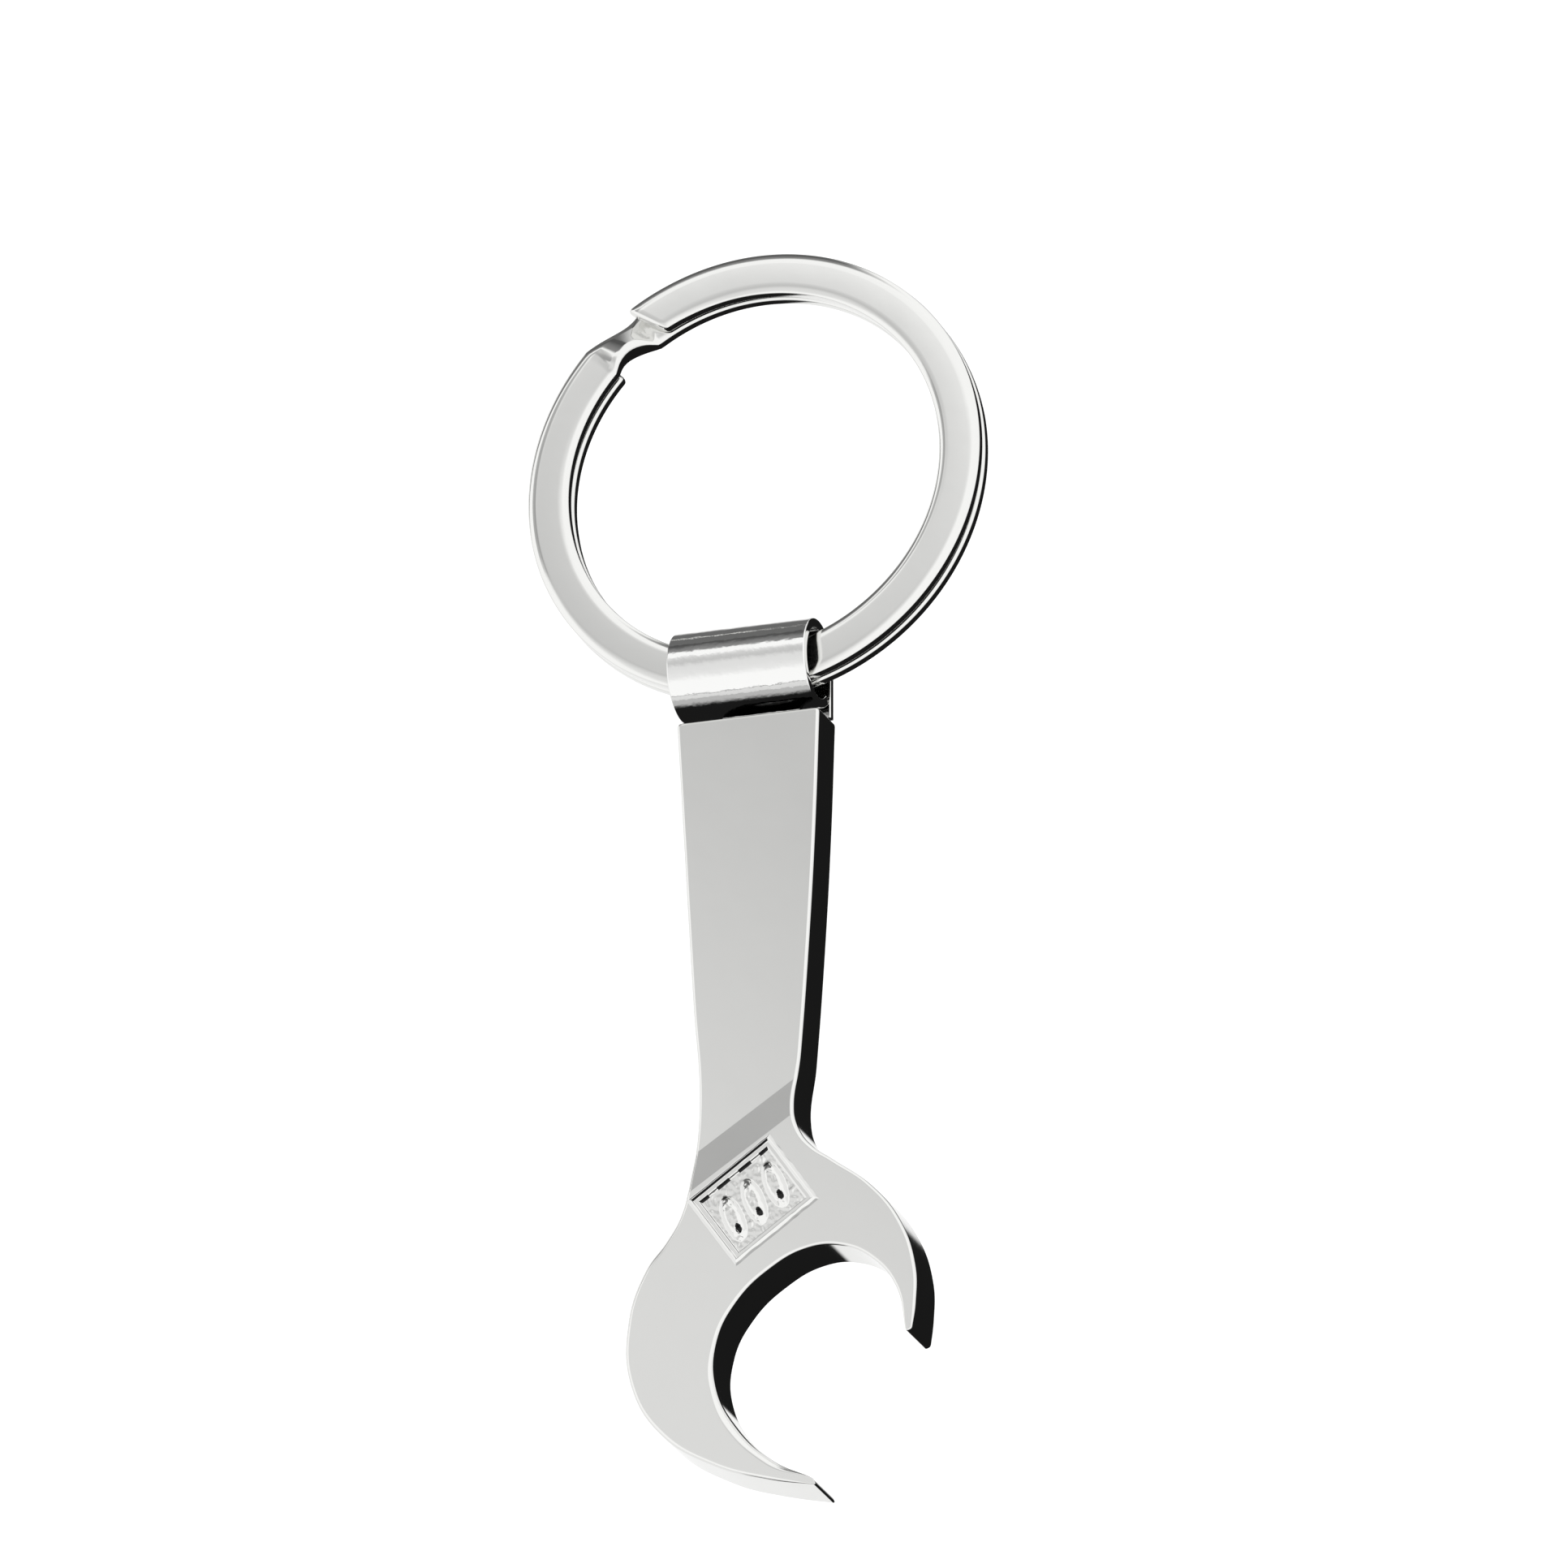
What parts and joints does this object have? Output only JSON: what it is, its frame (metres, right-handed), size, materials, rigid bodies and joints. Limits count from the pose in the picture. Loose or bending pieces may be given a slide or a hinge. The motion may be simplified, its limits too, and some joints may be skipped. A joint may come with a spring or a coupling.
{
  "type": "keychain bottle opener",
  "caption": "Pocket bottle opener shaped like an adjustable spanner, with an open hooked jaw and a split ring that swings in a rolled sleeve.",
  "frame": {"origin": "bottom centre of the whole object's box at rest: on the plane of the opener's flat back, midway between the ring's far edge and the lower jaw's tip", "axes": "+Y along the handle towards the ring, +Z out of the face with the relief, +X across the handle; the open jaw points to +X and -Y"},
  "size_m": [0.0199, 0.0554, 0.0038],
  "materials": {
    "plated_casting": "bright nickel-chrome plate on a smooth zinc casting, faintly hazed flat faces",
    "plated_strip": "mirror-bright plated sheet steel",
    "rivet_steel": "satin",
    "plated_wire": "bright nickel-plated spring steel"
  },
  "bodies": {
    "opener": {"opener_body": "plated_casting", "ring_loop": "plated_strip", "loop_rivet": "rivet_steel"},
    "ring": {"split_ring": "plated_wire"}
  },
  "joints": [
    {"name": "ring_swing", "type": "hinge", "parent": "opener", "child": "ring", "pos_m": [0, 0.0089, 0.0019], "axis": [1, 0, 0], "range_deg": [-165, 177]}
  ]
}
